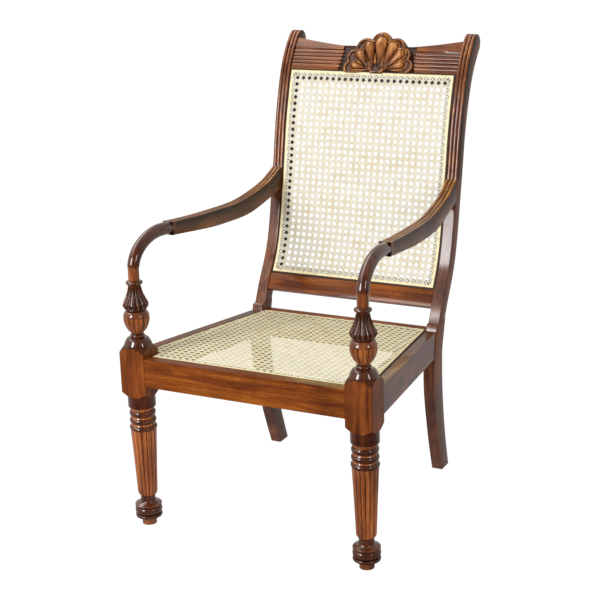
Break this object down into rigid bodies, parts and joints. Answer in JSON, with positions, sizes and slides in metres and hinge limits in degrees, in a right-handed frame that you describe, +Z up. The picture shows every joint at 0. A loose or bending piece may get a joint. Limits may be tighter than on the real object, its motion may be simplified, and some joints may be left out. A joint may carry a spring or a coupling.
{
  "type": "caned armchair",
  "caption": "Planters armchair with turned and reeded front posts, sabre rear legs, swept arms, carved shell crest, caned back panel and loose caned seat.",
  "frame": {"origin": "middle of the chair's bounding box in plan, at the floor", "axes": "+Z up, the chair's front faces -Y, +X to the sitter's left, which is the right side as seen from the front"},
  "size_m": [0.6014, 0.788, 1.0386],
  "materials": {
    "hardwood": "polished red-brown hardwood",
    "frame_wood": "red-brown hardwood, thinner polish",
    "block_wood": "unpolished hardwood",
    "cane": "split rattan cane, natural",
    "binder": "flat rattan binder, natural",
    "steel": "plain steel"
  },
  "bodies": {
    "frame": {"front_post_right": "hardwood", "front_post_left": "hardwood", "rear_leg_right": "hardwood", "rear_leg_left": "hardwood", "front_seat_rail": "hardwood", "back_seat_rail": "hardwood", "side_seat_rail_right": "hardwood", "side_seat_rail_left": "hardwood", "crest_rail": "hardwood", "crest_shell": "hardwood", "lower_back_rail": "hardwood", "arm_right": "hardwood", "arm_left": "hardwood", "back_frame_right": "frame_wood", "back_frame_left": "frame_wood", "back_frame_top": "frame_wood", "back_frame_bottom": "frame_wood", "back_cane": "cane", "back_cane_binder": "binder", "back_panel_dowels": "block_wood", "corner_block_front_right": "block_wood", "corner_block_front_left": "block_wood", "corner_block_back_right": "block_wood", "corner_block_back_left": "block_wood", "corner_block_screws": "steel", "arm_screws": "steel", "arm_screw_plugs": "hardwood"},
    "seat": {"seat_frame_front": "frame_wood", "seat_frame_back": "frame_wood", "seat_frame_left": "frame_wood", "seat_frame_right": "frame_wood", "seat_cane": "cane", "seat_cane_binder": "binder"}
  },
  "joints": [
    {"name": "seat_lift", "type": "slide", "parent": "frame", "child": "seat", "axis": [0, 0, 1], "range_m": [0, 0.1]}
  ]
}
